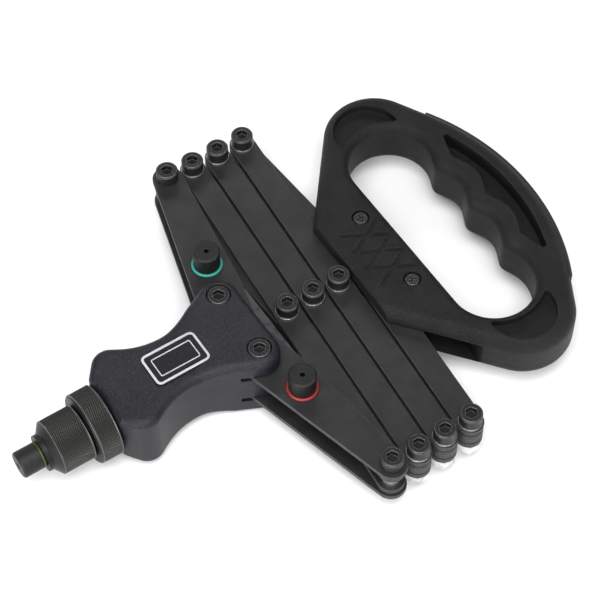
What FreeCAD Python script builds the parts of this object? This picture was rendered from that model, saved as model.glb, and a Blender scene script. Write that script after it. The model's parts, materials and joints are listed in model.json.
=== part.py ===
"""Hand riveter: a lazy-tong (scissor-link) blind riveter, folded flat.

The tool's axis is X, from the nosepiece (X = 0) back to the palm of the handle.
+Z is the side that carries the screw heads. All sizes are in millimetres.
The links lie in layers either side of Z = 0:
  the paired inner bars, a washer, an outer bar, a washer, then the lever plate or screw head.
"""
import FreeCAD, Part
import Sketcher
import math
import os
from FreeCAD import Placement, Rotation, Vector

doc = FreeCAD.newDocument("hand_riveter")
sheet = doc.addObject("Spreadsheet::Sheet", "Sizes")

DRIVING_SIZES = {
    # scissor links
    "pivot_pitch": 13.4, "bar_reach": 89.5, "bar_width": 11.8, "bar_thick": 2.5,
    "layer_space": 1.0, "washer_thick": 0.8, "washer_radius": 5.25,
    "first_cross_x": 134.3,
    # M6 screws and nuts
    "shank_radius": 3.0, "running_gap": 0.05, "cap_radius": 5.0, "cap_height": 6.0,
    "cap_edge": 0.5, "hex_flats": 5.0, "hex_depth": 3.0, "nut_flats": 10.0, "nut_height": 5.0,
    # front levers
    "lever_thick": 2.0, "lever_pivot_x": 109.6, "lever_pivot_y": 16.3, "lever_end_radius": 6.8,
    "lever_boss_radius": 8.8, "lever_pin_reach": 12.3, "lever_pin_lead": 25.0,
    "lever_pin_radius": 2.5, "lever_pin_eye": 3.6, "lever_heel_x": 118.3, "lever_heel_y": 6.6,
    "lever_heel_radius": 2.8, "lever_back_x": 119.0, "lever_back_y": 26.0,
    "lever_back_radius": 6.3, "loose_eye_radius": 4.2, "loose_eye_x": 1.6, "loose_eye_y": 4.5,
    "sleeve_radius": 3.9,
    # spare nosepieces on the levers
    "spare_x": 117.0, "spare_y": 38.2, "nose_head_radius": 6.0, "nose_head_long": 9.3,
    "nose_shank_radius": 4.0, "nose_shank_long": 8.0, "nose_edge": 0.6,
    "nose_bore_radius": 1.6, "spare_bore_radius": 1.2, "ring_wire": 0.7,
    "ring_radius": 7.0, "fitted_ring_radius": 6.1,
    # nose sleeve, lock ring and barrel
    "sleeve_start": 10.7, "collar_radius": 8.4, "collar_long": 2.0, "cone_long": 3.0,
    "sleeve_wall": 2.5, "sleeve_wall_x": 16.2, "sleeve_end": 31.0, "ring_end": 42.2,
    "lock_ring_radius": 16.3, "ring_gap": 0.3, "edge_chamfer": 0.8,
    "barrel_start": 20.0, "barrel_radius": 10.0, "barrel_bore": 7.4, "barrel_end": 62.0,
    # head casting
    "head_front": 42.5, "shoulder_x": 53.5, "shoulder_y": 13.8, "shoulder_radius": 8.0,
    "front_corner_x": 45.5, "front_corner_y": 12.0, "front_corner_radius": 3.0,
    "waist_x": 77.5, "waist_half": 14.2, "waist_ease": 0.2,
    "boss_half_high": 18.5, "boss_ease": 15.0, "boss_ease_lead": 12.0,
    "waist_half_high": 15.6, "hollow_radius": 20.0, "hollow_lag": 3.0,
    "shoulder_half_high": 16.2, "brow_radius": 18.0, "brow_lead": 2.0,
    "profile_foot": -6.0, "profile_margin": 30.0, "head_edge_round": 3.5,
    "slot_gap": 0.4, "slot_front": 97.5, "slot_front_half": 19.2, "slot_deep": 93.0,
    "slot_deep_half": 12.0, "rod_room": 1.0, "cap_recess_gap": 0.4,
    "nut_recess_radius": 6.3, "nut_sunk": 2.0, "bush_radius": 8.0, "bush_long": 14.0,
    "bridge_back": 125.2, "bridge_thick": 4.4, "bridge_half": 20.0, "bridge_gap": 0.3,
    "bridge_side_gap": 0.4,
    # cutting tools: how far each reaches past the solid that it cuts
    "cut_margin": 1.0, "side_cut": 80.0,
    # drawbar
    "rod_radius": 6.0, "crosshead_half": 10.0, "crosshead_long": 11.0, "crosshead_high": 5.6,
    "crosshead_web": 1.3, "crosshead_side_gap": 2.4, "pin_slot_gap": 0.15,
    "jaw_case_start": 27.0, "jaw_case_long": 29.0,
    "jaw_case_radius": 7.3, "jaw_mouth": 4.6, "jaw_seat": 6.15, "jaw_start": 30.5,
    "jaw_long": 10.5, "jaw_bore": 1.5, "jaw_angle": 112.0, "jaw_lead": 1.0,
    "jaw_seat_gap": 0.3, "pusher_long": 4.0, "pusher_collar": 1.5, "pusher_boss": 3.4,
    "spring_long": 5.0, "spring_wire": 0.5, "spring_coil": 4.3, "spring_pitch": 1.6,
    "rod_bore": 2.4, "rod_bore_long": 30.0,
    # badge
    "badge_x": 77.9, "badge_long": 26.4, "badge_wide": 16.6, "badge_corner": 2.6,
    "badge_thick": 1.0, "badge_floor": 15.3, "badge_frame": 1.05, "badge_line": 0.45,
    "badge_line_inset": 3.5, "badge_relief": 0.3, "fit_gap": 0.1,
    # handle
    "handle_front": 167.0, "handle_front_half": 29.0, "handle_back": 261.8,
    "palm_radius": 110.0, "lobe_radius": 23.5, "lobe_angle": 39.9, "lobe_ease": 1.7,
    "handle_top": 13.0, "handle_bottom": 9.8, "handle_round": 5.5, "front_round": 1.2,
    "grip_end_x": 216.0, "grip_end_y": 38.8, "grip_end_radius": 19.2,
    "finger_pitch": 26.0, "finger_radius": 13.0, "finger_x": 223.2, "knuckle_radius": 5.0,
    "knuckle_x": 236.9, "grip_round": 4.4,
    "slit_angle": 21.3, "slit_end_radius": 1.5, "slit_outer_radius": 102.0,
    "slit_cusp_x": 241.7, "slit_cusp_radius": 0.8, "slit_scallop_x": 229.3,
    "slit_scallop_radius": 16.0, "slit_depth": 8.0,
    "crescent_x": 217.4, "crescent_y": 58.9, "crescent_radius": 15.7, "crescent_inner": 22.8,
    "crescent_tip": 1.5, "crescent_depth": 4.0, "outline_ease": 0.05,
    "bar_slot_gap": 0.9, "flank_slot_x": 194.2, "flank_slot_y": 33.0, "flank_slot_step": 6.0,
    "handle_screw_x": 186.5, "handle_screw_y": 20.0, "handle_screw_radius": 1.9,
    "handle_cap_radius": 3.9, "handle_cap_high": 2.2, "handle_cap_sunk": 0.3,
    "handle_cap_dome": 1.0, "cross_arm": 0.5, "cross_reach": 2.0, "cross_floor": 0.6,
    "handle_recess": 4.1, "handle_nut_flats": 7.0, "handle_nut_high": 3.2,
    "groove_start": 172.3, "groove_end": 195.3, "groove_slope": 0.55, "groove_step": 10.2,
    "groove_wide": 2.6, "groove_deep": 0.8, "groove_first": 17.7,
    "strip_deep": 2.6, "strip_proud": 0.7, "strip_low": 6.0, "strip_high": 10.0,
    "strip_sweep": 60.0, "strip_sweep_gap": 0.2, "pin_cover": 1.2,
}
JAWS = 3
GROOVES = 3
FULL_TURN = 360.0
NEAR = 0.01  # two places closer than this count as one


class Size:
    """A length or angle: its value now, and the sheet expression that gives it."""

    def __init__(self, value, text):
        self.value, self.text = float(value), text

    def __float__(self):
        return self.value

    def __add__(self, other):
        return Size(self.value + float(other), f"({self.text} + {words(other)})")

    def __sub__(self, other):
        return Size(self.value - float(other), f"({self.text} - {words(other)})")

    def __mul__(self, other):
        return Size(self.value * float(other), f"({self.text} * {words(other)})")

    def __truediv__(self, other):
        return Size(self.value / float(other), f"({self.text} / {words(other)})")

    def __rsub__(self, other):
        return Size(float(other) - self.value, f"({words(other)} - {self.text})")

    def __neg__(self):
        return Size(-self.value, f"(0 - {self.text})")

    __radd__ = __add__
    __rmul__ = __mul__


def words(number):
    return number.text if isinstance(number, Size) else f"{float(number):.9g}"


def square_root(size):
    return Size(math.sqrt(size.value), f"sqrt({size.text})")


def cosine(size):
    return Size(math.cos(math.radians(size.value)), f"cos({size.text} * 1 deg)")


def sine(size):
    return Size(math.sin(math.radians(size.value)), f"sin({size.text} * 1 deg)")


def fill_sheet():
    """Write the driving sizes as text, one alias a row, and return them as Size values."""
    sizes = {}
    for row, (alias, value) in enumerate(DRIVING_SIZES.items(), start=1):
        sheet.set(f"A{row}", alias.replace("_", " "))
        sheet.set(f"B{row}", str(value))
        sheet.setAlias(f"B{row}", alias)
        sizes[alias] = Size(value, f"Sizes.{alias}")
    return sizes


size = fill_sheet()
doc.recompute()


# ---------------------------------------------------------------- sketch and body helpers

def bind(item, path, length):
    """Tie one property of an object to its sheet expression."""
    if isinstance(length, Size):
        item.setExpression(path, length.text)


def new_body(label):
    body = doc.addObject("PartDesign::Body", label)
    body.Label = label
    body.AllowCompound = False
    return body


def sketch_on(body, role, height=0.0):
    """A sketch on one of the body's own origin planes, raised by a height along its normal."""
    sketch = body.newObject("Sketcher::SketchObject", body.Label + "_sketch")
    plane = [item for item in body.Origin.OriginFeatures if item.Role == role][0]
    sketch.AttachmentSupport = [(plane, "")]
    sketch.MapMode = "FlatFace"
    sketch.AttachmentOffset = Placement(Vector(0, 0, float(height)), Rotation())
    bind(sketch, "AttachmentOffset.Base.z", height)
    return sketch


def fix_point(sketch, shape_id, point_id, x, y):
    """Hold a sketch point at bound distances from the sketch's origin."""
    for kind, place in (("DistanceX", x), ("DistanceY", y)):
        number = sketch.addConstraint(
            Sketcher.Constraint(kind, -1, 1, shape_id, point_id, float(place)))
        bind(sketch, f"Constraints[{number}]", place)


def fix_radius(sketch, shape_id, radius):
    number = sketch.addConstraint(Sketcher.Constraint("Radius", shape_id, float(radius)))
    bind(sketch, f"Constraints[{number}]", radius)


def draw_outline(sketch, rounds):
    """Closed outline of lines tangent to arcs.

    Each round is (x, y, radius). The radius is positive where the outline turns left about
    that centre, negative where it turns right, and 0 at a sharp corner.
    """
    count = len(rounds)
    centres = [Vector(float(x), float(y), 0) for x, y, _ in rounds]
    radii = [float(radius) for _, _, radius in rounds]
    starts, ends = [], []
    for i in range(count):
        j = (i + 1) % count
        gap = centres[j] - centres[i]
        bearing = math.atan2(gap.y, gap.x) - math.asin((radii[j] - radii[i]) / gap.Length)
        left = Vector(-math.sin(bearing), math.cos(bearing), 0)
        starts.append(centres[i] - left * radii[i])
        ends.append(centres[j] - left * radii[j])
    lines = [sketch.addGeometry(Part.LineSegment(starts[i], ends[i])) for i in range(count)]
    for i in range(count):
        before, after = lines[i - 1], lines[i]
        if radii[i] == 0:
            sketch.addConstraint(Sketcher.Constraint("Coincident", before, 2, after, 1))
            fix_point(sketch, after, 1, rounds[i][0], rounds[i][1])
            continue
        angles = [math.atan2(*reversed((point - centres[i])[:2])) for point in (ends[i - 1], starts[i])]
        first, last = (1, 2) if radii[i] > 0 else (2, 1)
        if radii[i] < 0:
            angles.reverse()
        circle = Part.Circle(centres[i], Vector(0, 0, 1), abs(radii[i]))
        arc = sketch.addGeometry(Part.ArcOfCircle(circle, angles[0], angles[1]))
        sketch.addConstraint(Sketcher.Constraint("Tangent", before, 2, arc, first))
        sketch.addConstraint(Sketcher.Constraint("Tangent", arc, last, after, 1))
        fix_point(sketch, arc, 3, rounds[i][0], rounds[i][1])
        fix_radius(sketch, arc, rounds[i][2] if radii[i] > 0 else -rounds[i][2])


def draw_polygon(sketch, corners):
    draw_outline(sketch, [(x, y, 0) for x, y in corners])


def draw_circle(sketch, x, y, radius):
    circle = Part.Circle(Vector(float(x), float(y), 0), Vector(0, 0, 1), float(radius))
    number = sketch.addGeometry(circle)
    fix_point(sketch, number, 3, x, y)
    fix_radius(sketch, number, radius)


def rectangle(low_x, low_y, high_x, high_y):
    return [(low_x, low_y), (high_x, low_y), (high_x, high_y), (low_x, high_y)]


def rounded_rectangle(middle_x, long, wide, corner):
    reach_x, reach_y = long / 2 - corner, wide / 2 - corner
    return [(middle_x + reach_x, -reach_y, corner), (middle_x + reach_x, reach_y, corner),
            (middle_x - reach_x, reach_y, corner), (middle_x - reach_x, -reach_y, corner)]


def mirrored(rounds):
    """The same rounds followed by their mirror images in the X axis, in outline order."""
    return rounds + [(x, -y, radius) for x, y, radius in reversed(rounds)]


def add_feature(body, kind, sketch, length):
    feature = body.newObject("PartDesign::" + kind, f"{body.Label}_{kind.lower()}")
    feature.Profile = sketch
    feature.Length = float(length)
    bind(feature, "Length", length)
    sketch.Visibility = False
    body.Tip = feature
    return feature


def pad_between(body, low, high, draw, role="XY_Plane"):
    sketch = sketch_on(body, role, low)
    draw(sketch)
    return add_feature(body, "Pad", sketch, high - low)


def cut_between(body, low, high, draw, role="XY_Plane"):
    sketch = sketch_on(body, role, high)
    draw(sketch)
    return add_feature(body, "Pocket", sketch, high - low)


def drill(body, low, high, holes):
    """Straight round holes along Z between two heights; each hole is (x, y, radius)."""
    return cut_between(body, low, high, lambda sketch: [draw_circle(sketch, *hole) for hole in holes])


def turn(body, corners, axis="H_Axis", kind="Revolution", angle=FULL_TURN, shift=0.0):
    """Revolve a polygon of the XZ plane about X (H_Axis) or Z (V_Axis)."""
    sketch = sketch_on(body, "XZ_Plane")
    sketch.AttachmentOffset = Placement(Vector(float(shift), 0, 0), Rotation())
    bind(sketch, "AttachmentOffset.Base.x", shift)
    draw_polygon(sketch, corners)
    feature = body.newObject("PartDesign::" + kind, f"{body.Label}_{kind.lower()}")
    feature.Profile = sketch
    feature.ReferenceAxis = (sketch, [axis])
    feature.Angle = float(angle)
    bind(feature, "Angle", angle)
    feature.Midplane = float(angle) < FULL_TURN
    sketch.Visibility = False
    body.Tip = feature
    return feature


def round_edges(body, radius, wanted, kind="Fillet"):
    """Round (or chamfer) the edges of the body's tip that pass a test."""
    doc.recompute()
    base = body.Tip
    names = [f"Edge{i + 1}" for i, edge in enumerate(base.Shape.Edges) if wanted(edge)]
    feature = body.newObject("PartDesign::" + kind, f"{body.Label}_{kind.lower()}")
    feature.Base = (base, names)
    name = "Radius" if kind == "Fillet" else "Size"
    setattr(feature, name, float(radius))
    bind(feature, name, radius)
    body.Tip = feature
    return feature


def at_height(height, test=lambda edge: True):
    """A test for edges that lie wholly at one Z."""
    level = float(height)

    def wanted(edge):
        box = edge.BoundBox
        return abs(box.ZMin - level) < NEAR and abs(box.ZMax - level) < NEAR and test(edge)
    return wanted


def placed(x=0.0, y=0.0, z=0.0, turn_z=0.0):
    return Placement(Vector(float(x), float(y), float(z)), Rotation(Vector(0, 0, 1), turn_z))


def group(label, members):
    """One node of several separate solids: links to master bodies, each at its own place."""
    links = []
    for number, (master, place) in enumerate(members, start=1):
        link = doc.addObject("App::Link", f"{label}_{number}")
        link.LinkedObject = master
        link.Placement = place
        links.append(link)
    compound = doc.addObject("Part::Compound", label)
    compound.Label = label
    compound.Links = links
    nodes.append(compound)
    return compound


def node(body):
    nodes.append(body)
    return body


nodes = []

# ---------------------------------------------------------------- heights of the layers

inner_top = size["bar_thick"]
outer_low = inner_top + size["layer_space"]
outer_top = outer_low + size["bar_thick"]
cap_seat = outer_top + size["layer_space"]
lever_low = cap_seat
lever_top = lever_low + size["lever_thick"]
washer_gap = (size["layer_space"] - size["washer_thick"]) / 2
bolt_hole = size["shank_radius"] + size["running_gap"]
gap, margin = size["fit_gap"], size["cut_margin"]
sides = (1, -1)

# ---------------------------------------------------------------- places of the pivots at rest

half_pitch = size["pivot_pitch"] / 2
row_y = square_root(size["bar_reach"] * size["bar_reach"] - half_pitch * half_pitch)
lean = math.degrees(math.asin(float(half_pitch) / float(size["bar_reach"])))


def cross_x(number):
    """X of the centre pivot where the number-th pair of bars crosses."""
    return size["first_cross_x"] + size["pivot_pitch"] * (number - 1)


def row_x(number):
    """X of the number-th pivot of either outer row."""
    return cross_x(number) - half_pitch


# ---------------------------------------------------------------- masters for repeated pieces

def make_bar(label, eyes):
    """Flat bar with round ends and one eye every bar_reach, from X = 0, lying on Z = 0."""
    body = new_body(label)
    end = size["bar_width"] / 2
    far = size["bar_reach"] * (eyes - 1)
    pad_between(body, 0.0, size["bar_thick"],
                lambda sketch: draw_outline(sketch, [(0.0, 0.0, end), (far, 0.0, end)]))
    drill(body, 0.0, size["bar_thick"],
          [(size["bar_reach"] * eye, 0.0, bolt_hole) for eye in range(eyes)])
    return body


def hexagon(flats):
    across = flats / math.sqrt(3.0)
    return [(across * math.cos(math.radians(60 * k)), across * math.sin(math.radians(60 * k)))
            for k in range(6)]


def make_screw(label, length):
    """Socket-head screw, its head sitting on Z = 0 and its shank hanging below."""
    body = new_body(label)
    edge, cap, top = size["cap_edge"], size["cap_radius"], size["cap_height"]
    shank = size["shank_radius"]
    turn(body, [(0.0, -length), (shank - edge, -length), (shank, edge - length), (shank, 0.0),
                (cap, 0.0), (cap, top - edge), (cap - edge, top), (0.0, top)], axis="V_Axis")
    cut_between(body, top - size["hex_depth"], top,
                lambda sketch: draw_polygon(sketch, hexagon(size["hex_flats"])))
    return body


def make_tube(label, length, outer, inner):
    """Washer or sleeve standing on Z = 0."""
    body = new_body(label)

    def draw(sketch):
        draw_circle(sketch, 0.0, 0.0, outer)
        draw_circle(sketch, 0.0, 0.0, inner)
    pad_between(body, 0.0, length, draw)
    return body


def make_nut(label, flats, height, hole):
    body = new_body(label)
    pad_between(body, 0.0, height, lambda sketch: draw_polygon(sketch, hexagon(flats)))
    drill(body, 0.0, height, [(0.0, 0.0, hole)])
    return body


full_bar = make_bar("full_bar_master", 3)
half_bar = make_bar("half_bar_master", 2)
link_screw = make_screw("link_screw_master", cap_seat * 2 + size["nut_height"])
lever_screw = make_screw("lever_screw_master", lever_top * 2)
washer = make_tube("washer_master", size["washer_thick"], size["washer_radius"], bolt_hole)
nut = make_nut("nut_master", size["nut_flats"], size["nut_height"], bolt_hole)

# ---------------------------------------------------------------- the scissor bars

def bar_places(x, y, heights, angle):
    return [placed(x, y, height, angle) for height in heights]


inner_heights = (0.0, -size["bar_thick"])
outer_heights = (outer_low, -outer_top)
washer_heights = (inner_top + washer_gap, outer_top + washer_gap,
                  -(inner_top + washer_gap + size["washer_thick"]),
                  -(outer_top + washer_gap + size["washer_thick"]))


def build_inner(number, master, screws_at):
    """An inner pair of bars with the screws, washers and nuts that it carries."""
    places = bar_places(row_x(number), row_y, inner_heights, -90 + lean)
    group(f"inner_bars_{number}", [(master, place) for place in places])
    group(f"screws_{number}", [(link_screw, placed(x, y, cap_seat)) for x, y in screws_at])
    group(f"washers_{number}",
          [(washer, placed(x, y, z)) for x, y in screws_at for z in washer_heights])
    group(f"nuts_{number}",
          [(nut, placed(x, y, -(cap_seat + size["nut_height"]))) for x, y in screws_at])


build_inner(1, full_bar, [(cross_x(1), 0.0), (row_x(2), -row_y)])
build_inner(2, full_bar, [(row_x(2), row_y), (cross_x(2), 0.0), (row_x(3), -row_y)])
build_inner(3, full_bar, [(row_x(3), row_y), (cross_x(3), 0.0), (row_x(4), -row_y)])
build_inner(4, half_bar, [(row_x(4), row_y)])

for number in (1, 2, 3):
    places = bar_places(row_x(number + 1), row_y, outer_heights, -90 - lean)
    group(f"outer_bars_{number}", [(full_bar, place) for place in places])
places = bar_places(row_x(4), -row_y, outer_heights, 90 - lean)
group("outer_bars_4", [(half_bar, place) for place in places])

# ---------------------------------------------------------------- the front levers

pivot_x, pivot_y = size["lever_pivot_x"], size["lever_pivot_y"]
pin_x = pivot_x + size["lever_pin_reach"] * sine(size["lever_pin_lead"])
pin_y = pivot_y - size["lever_pin_reach"] * cosine(size["lever_pin_lead"])


def lever_rounds(side):
    """Plan of a lever plate, in outline order, for side +1 (upper) or -1 (lower)."""
    rounds = [(size["lever_heel_x"], size["lever_heel_y"], size["lever_heel_radius"]),
              (size["lever_back_x"], size["lever_back_y"], size["lever_back_radius"]),
              (row_x(1), row_y, size["lever_end_radius"]),
              (pivot_x, pivot_y, size["lever_boss_radius"]),
              (pin_x, pin_y, size["lever_pin_eye"])]
    if side > 0:
        return rounds
    return [(x, -y, radius) for x, y, radius in reversed(rounds)]


def lever_plate(label, side, low, high, spare_radius):
    """One plate of a lever; the lower lever's eye on its head pivot is long, for free play."""
    body = new_body(label)
    pad_between(body, low, high, lambda sketch: draw_outline(sketch, lever_rounds(side)))
    holes = [(row_x(1), row_y * side, bolt_hole),
             (pin_x, pin_y * side, size["lever_pin_radius"] + size["running_gap"])]
    if side > 0:
        holes.append((pivot_x, pivot_y, bolt_hole))
    if spare_radius is not None:
        holes.append((size["spare_x"], size["spare_y"] * side, spare_radius))
    drill(body, low, high, holes)
    if side < 0:
        loose = size["loose_eye_radius"]
        far = (pivot_x + size["loose_eye_x"], size["loose_eye_y"] - pivot_y, loose)
        cut_between(body, low, high,
                    lambda sketch: draw_outline(sketch, [(pivot_x, -pivot_y, loose), far]))
    return node(body)


shank_hole = size["nose_shank_radius"] + size["running_gap"]
lever_pin = new_body("lever_pin_master")
pad_between(lever_pin, -lever_top, lever_top,
            lambda sketch: draw_circle(sketch, 0.0, 0.0, size["lever_pin_radius"]))
round_edges(lever_pin, size["edge_chamfer"] / 2, lambda edge: edge.Closed, kind="Chamfer")


def nosepiece(label, bore):
    """Screw-in nosepiece, its face at X = 0 and its threaded shank behind the head."""
    body = new_body(label)
    edge, head, long = size["nose_edge"], size["nose_head_radius"], size["nose_head_long"]
    shank = size["nose_shank_radius"]
    end = long + size["nose_shank_long"]
    turn(body, [(0.0, bore), (0.0, head - edge), (edge, head), (long, head), (long, shank),
                (end - edge, shank), (end, shank - edge), (end, bore)])
    return body


spare_master = nosepiece("spare_nosepiece_master", size["spare_bore_radius"])
ring_master = doc.addObject("Part::Torus", "ring_master")
bind(ring_master, "Radius1", size["ring_radius"] - size["ring_wire"])
bind(ring_master, "Radius2", size["ring_wire"])
down = Rotation(Vector(0, 1, 0), 90)

inner_sleeve = make_tube("inner_sleeve_master", (outer_low - washer_gap) * 2,
                         size["sleeve_radius"], bolt_hole)
outer_sleeve = make_tube("outer_sleeve_master", lever_low - inner_top - washer_gap * 2,
                         size["sleeve_radius"], bolt_hole)

for name, side in (("upper", 1), ("lower", -1)):
    lever_plate(f"{name}_lever_top_plate", side, lever_low, lever_top, shank_hole)
    lever_plate(f"{name}_lever_bottom_plate", side, -lever_top, -lever_low, None)
    group(f"{name}_lever_pin", [(lever_pin, placed(pin_x, pin_y * side))])
    group(f"{name}_lever_end_screw", [(lever_screw, placed(row_x(1), row_y * side, lever_top))])
    rest = Vector(float(size["spare_x"]), float(size["spare_y"]) * side,
                  float(lever_top + size["ring_wire"] * 2 + size["nose_head_long"]))
    group(f"{name}_spare_nosepiece", [(spare_master, Placement(rest, down))])
    rest.z = float(lever_top + size["ring_wire"])
    group(f"{name}_spare_ring", [(ring_master, Placement(rest, Rotation()))])

group("upper_lever_sleeves",
      [(outer_sleeve, placed(row_x(1), row_y, inner_top + washer_gap)),
       (outer_sleeve, placed(row_x(1), row_y, washer_gap - lever_low))])
group("lower_lever_sleeves",
      [(inner_sleeve, placed(row_x(1), -row_y, washer_gap - outer_low)),
       (washer, placed(row_x(1), -row_y, washer_heights[1])),
       (washer, placed(row_x(1), -row_y, washer_heights[3]))])

# ---------------------------------------------------------------- nosepiece, sleeve and barrel

node(nosepiece("fitted_nosepiece", size["nose_bore_radius"]))
fitted_ring = doc.addObject("Part::Torus", "fitted_ring")
bind(fitted_ring, "Radius1", size["fitted_ring_radius"] - size["ring_wire"])
bind(fitted_ring, "Radius2", size["ring_wire"])
ring_x = size["nose_head_long"] + size["ring_wire"]
fitted_ring.Placement = Placement(Vector(float(ring_x), 0, 0), down)
node(fitted_ring)

sleeve = new_body("nose_sleeve")
sleeve_x, wall_x, chamfer = size["sleeve_start"], size["sleeve_wall_x"], size["edge_chamfer"]
cone_x = sleeve_x + size["collar_long"]
knurl_radius = size["barrel_radius"] + size["sleeve_wall"]
barrel_hole = size["barrel_radius"] + size["running_gap"]
turn(sleeve, [(sleeve_x, shank_hole), (sleeve_x, size["collar_radius"]),
              (cone_x, size["collar_radius"]),
              (cone_x + size["cone_long"], knurl_radius),
              (size["sleeve_end"] - chamfer, knurl_radius),
              (size["sleeve_end"], knurl_radius - chamfer),
              (size["sleeve_end"], barrel_hole), (size["barrel_start"], barrel_hole),
              (size["barrel_start"], size["barrel_bore"]), (wall_x, size["barrel_bore"]),
              (wall_x, shank_hole)])
node(sleeve)

lock_ring = new_body("lock_ring")
ring_low, ring_high = size["sleeve_end"] + size["ring_gap"], size["ring_end"]
ring_out = size["lock_ring_radius"]
turn(lock_ring, [(ring_low, barrel_hole), (ring_low, ring_out - chamfer),
                 (ring_low + chamfer, ring_out), (ring_high - chamfer, ring_out),
                 (ring_high, ring_out - chamfer), (ring_high, barrel_hole)])
node(lock_ring)

barrel = new_body("nose_barrel")
barrel_front = size["barrel_start"] + size["ring_gap"]
turn(barrel, rectangle(barrel_front, size["barrel_bore"], size["barrel_end"],
                       size["barrel_radius"]))
node(barrel)

# ---------------------------------------------------------------- drawbar, jaws and spring

case_x = size["jaw_case_start"]
case_end = case_x + size["jaw_case_long"]
case = new_body("jaw_case")
jaw_x = size["jaw_start"]
jaw_end = jaw_x + size["jaw_long"]
turn(case, [(case_x, size["jaw_mouth"]), (case_x, size["jaw_case_radius"]),
            (case_end, size["jaw_case_radius"]), (case_end, size["jaw_seat"]),
            (jaw_end, size["jaw_seat"]), (jaw_x - size["jaw_lead"], size["jaw_mouth"])])
node(case)

jaw = new_body("jaw_master")
turn(jaw, [(jaw_x, size["jaw_bore"]), (jaw_x, size["jaw_mouth"] - gap),
           (jaw_end, size["jaw_seat"] - size["jaw_seat_gap"]), (jaw_end, size["jaw_bore"])],
     angle=size["jaw_angle"])
jaw_turns = [Rotation(Vector(1, 0, 0), FULL_TURN / JAWS * number) for number in range(JAWS)]
group("jaws", [(jaw, Placement(Vector(), turned)) for turned in jaw_turns])

pusher = new_body("jaw_pusher")
push_x = jaw_end + gap
push_end = push_x + size["pusher_long"]
collar_x = push_end - size["pusher_collar"]
turn(pusher, [(push_x, size["jaw_bore"]), (push_x, size["jaw_seat"] - gap),
              (collar_x, size["jaw_seat"] - gap), (collar_x, size["pusher_boss"]),
              (push_end, size["pusher_boss"]), (push_end, size["jaw_bore"])])
node(pusher)

rod_x = push_end + size["spring_long"]
spring_x = collar_x + size["spring_wire"] + gap
spring = new_body("jaw_spring")
wire_sketch = sketch_on(spring, "XZ_Plane")
draw_circle(wire_sketch, spring_x, size["spring_coil"], size["spring_wire"])
coil = spring.newObject("PartDesign::AdditiveHelix", "jaw_spring_coil")
coil.Profile = wire_sketch
coil.ReferenceAxis = (wire_sketch, ["H_Axis"])
coil.Mode = 0
for name, amount in (("Pitch", size["spring_pitch"]),
                     ("Height", size["spring_long"] + size["pusher_collar"]
                      - size["spring_wire"] * 2 - gap * 2)):
    setattr(coil, name, float(amount))
    bind(coil, name, amount)
spring.Tip = coil
node(spring)

drawbar = new_body("drawbar")
cross_half = size["crosshead_long"] / 2
cross_front, cross_back = pin_x - cross_half, pin_x + cross_half
rod, bore = size["rod_radius"], size["rod_bore"]
rod_end, bore_end = cross_front + margin, rod_x + size["rod_bore_long"]
turn(drawbar, [(rod_x, bore), (rod_x, rod), (rod_end, rod), (rod_end, 0.0),
               (bore_end, 0.0), (bore_end, bore)])
half_high = size["crosshead_high"]
pad_between(drawbar, -half_high, half_high, lambda sketch: draw_polygon(sketch, rectangle(
    cross_front, -size["crosshead_half"], cross_back, size["crosshead_half"])))
slot_half = size["lever_pin_radius"] + size["pin_slot_gap"]
for side in sides:
    inner, outer = size["crosshead_web"] * side, (size["crosshead_half"] + margin) * side
    low_y, high_y = (inner, outer) if side > 0 else (outer, inner)
    cut_between(drawbar, -half_high, half_high,
                lambda sketch: draw_polygon(sketch, rectangle(
                    pin_x - slot_half, low_y, pin_x + slot_half, high_y)))
node(drawbar)

# ---------------------------------------------------------------- head casting

head = new_body("head_casting")
head_front = size["head_front"]
along = size["waist_x"] - size["shoulder_x"]
aside = size["waist_half"] - size["shoulder_y"]
reach = size["shoulder_radius"] + size["waist_ease"]
waist_radius = (along * along + aside * aside - reach * reach) / ((reach - aside) * 2)
plan = mirrored([
    (pivot_x, pivot_y, size["lever_boss_radius"]),
    (size["waist_x"], size["waist_half"] + waist_radius, -waist_radius),
    (size["shoulder_x"], size["shoulder_y"], size["shoulder_radius"]),
    (size["front_corner_x"], size["front_corner_y"], size["front_corner_radius"])])
tall = size["boss_half_high"]
pad_between(head, -tall, tall, lambda sketch: draw_outline(sketch, plan))
head_back = pivot_x + size["lever_boss_radius"]


def above_head(sign):
    """The waste above (+1) or below (-1) the head's side profile, as an outline in X and Z."""
    ease_radius, hollow, brow = size["boss_ease"], size["hollow_radius"], size["brow_radius"]
    beyond = size["profile_margin"]
    profile = [(pivot_x - size["boss_ease_lead"], tall - ease_radius, -ease_radius),
               (size["waist_x"] + size["hollow_lag"], size["waist_half_high"] + hollow, hollow),
               (size["shoulder_x"] - size["brow_lead"], size["shoulder_half_high"] - brow, -brow)]
    front, back = head_front - beyond, head_back + beyond
    corners = [(front, size["profile_foot"], 0), (front, tall + beyond, 0),
               (back, tall + beyond, 0), (back, tall, 0)]
    ring = corners + profile
    if sign < 0:
        return [(x, -z, radius) for x, z, radius in ring]
    return list(reversed(ring))


for sign in (1, -1):
    shaping = cut_between(head, -size["side_cut"], 0.0,
                          lambda sketch: draw_outline(sketch, above_head(sign)), "XZ_Plane")
    shaping.Midplane = True


def outer_edge(edge):
    """Edges of the head's skin, away from its middle plane and its front face."""
    return abs(edge.CenterOfMass.z) > float(lever_top) and \
        edge.BoundBox.XMax > float(head_front) + NEAR


round_edges(head, size["head_edge_round"], outer_edge)

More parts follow.
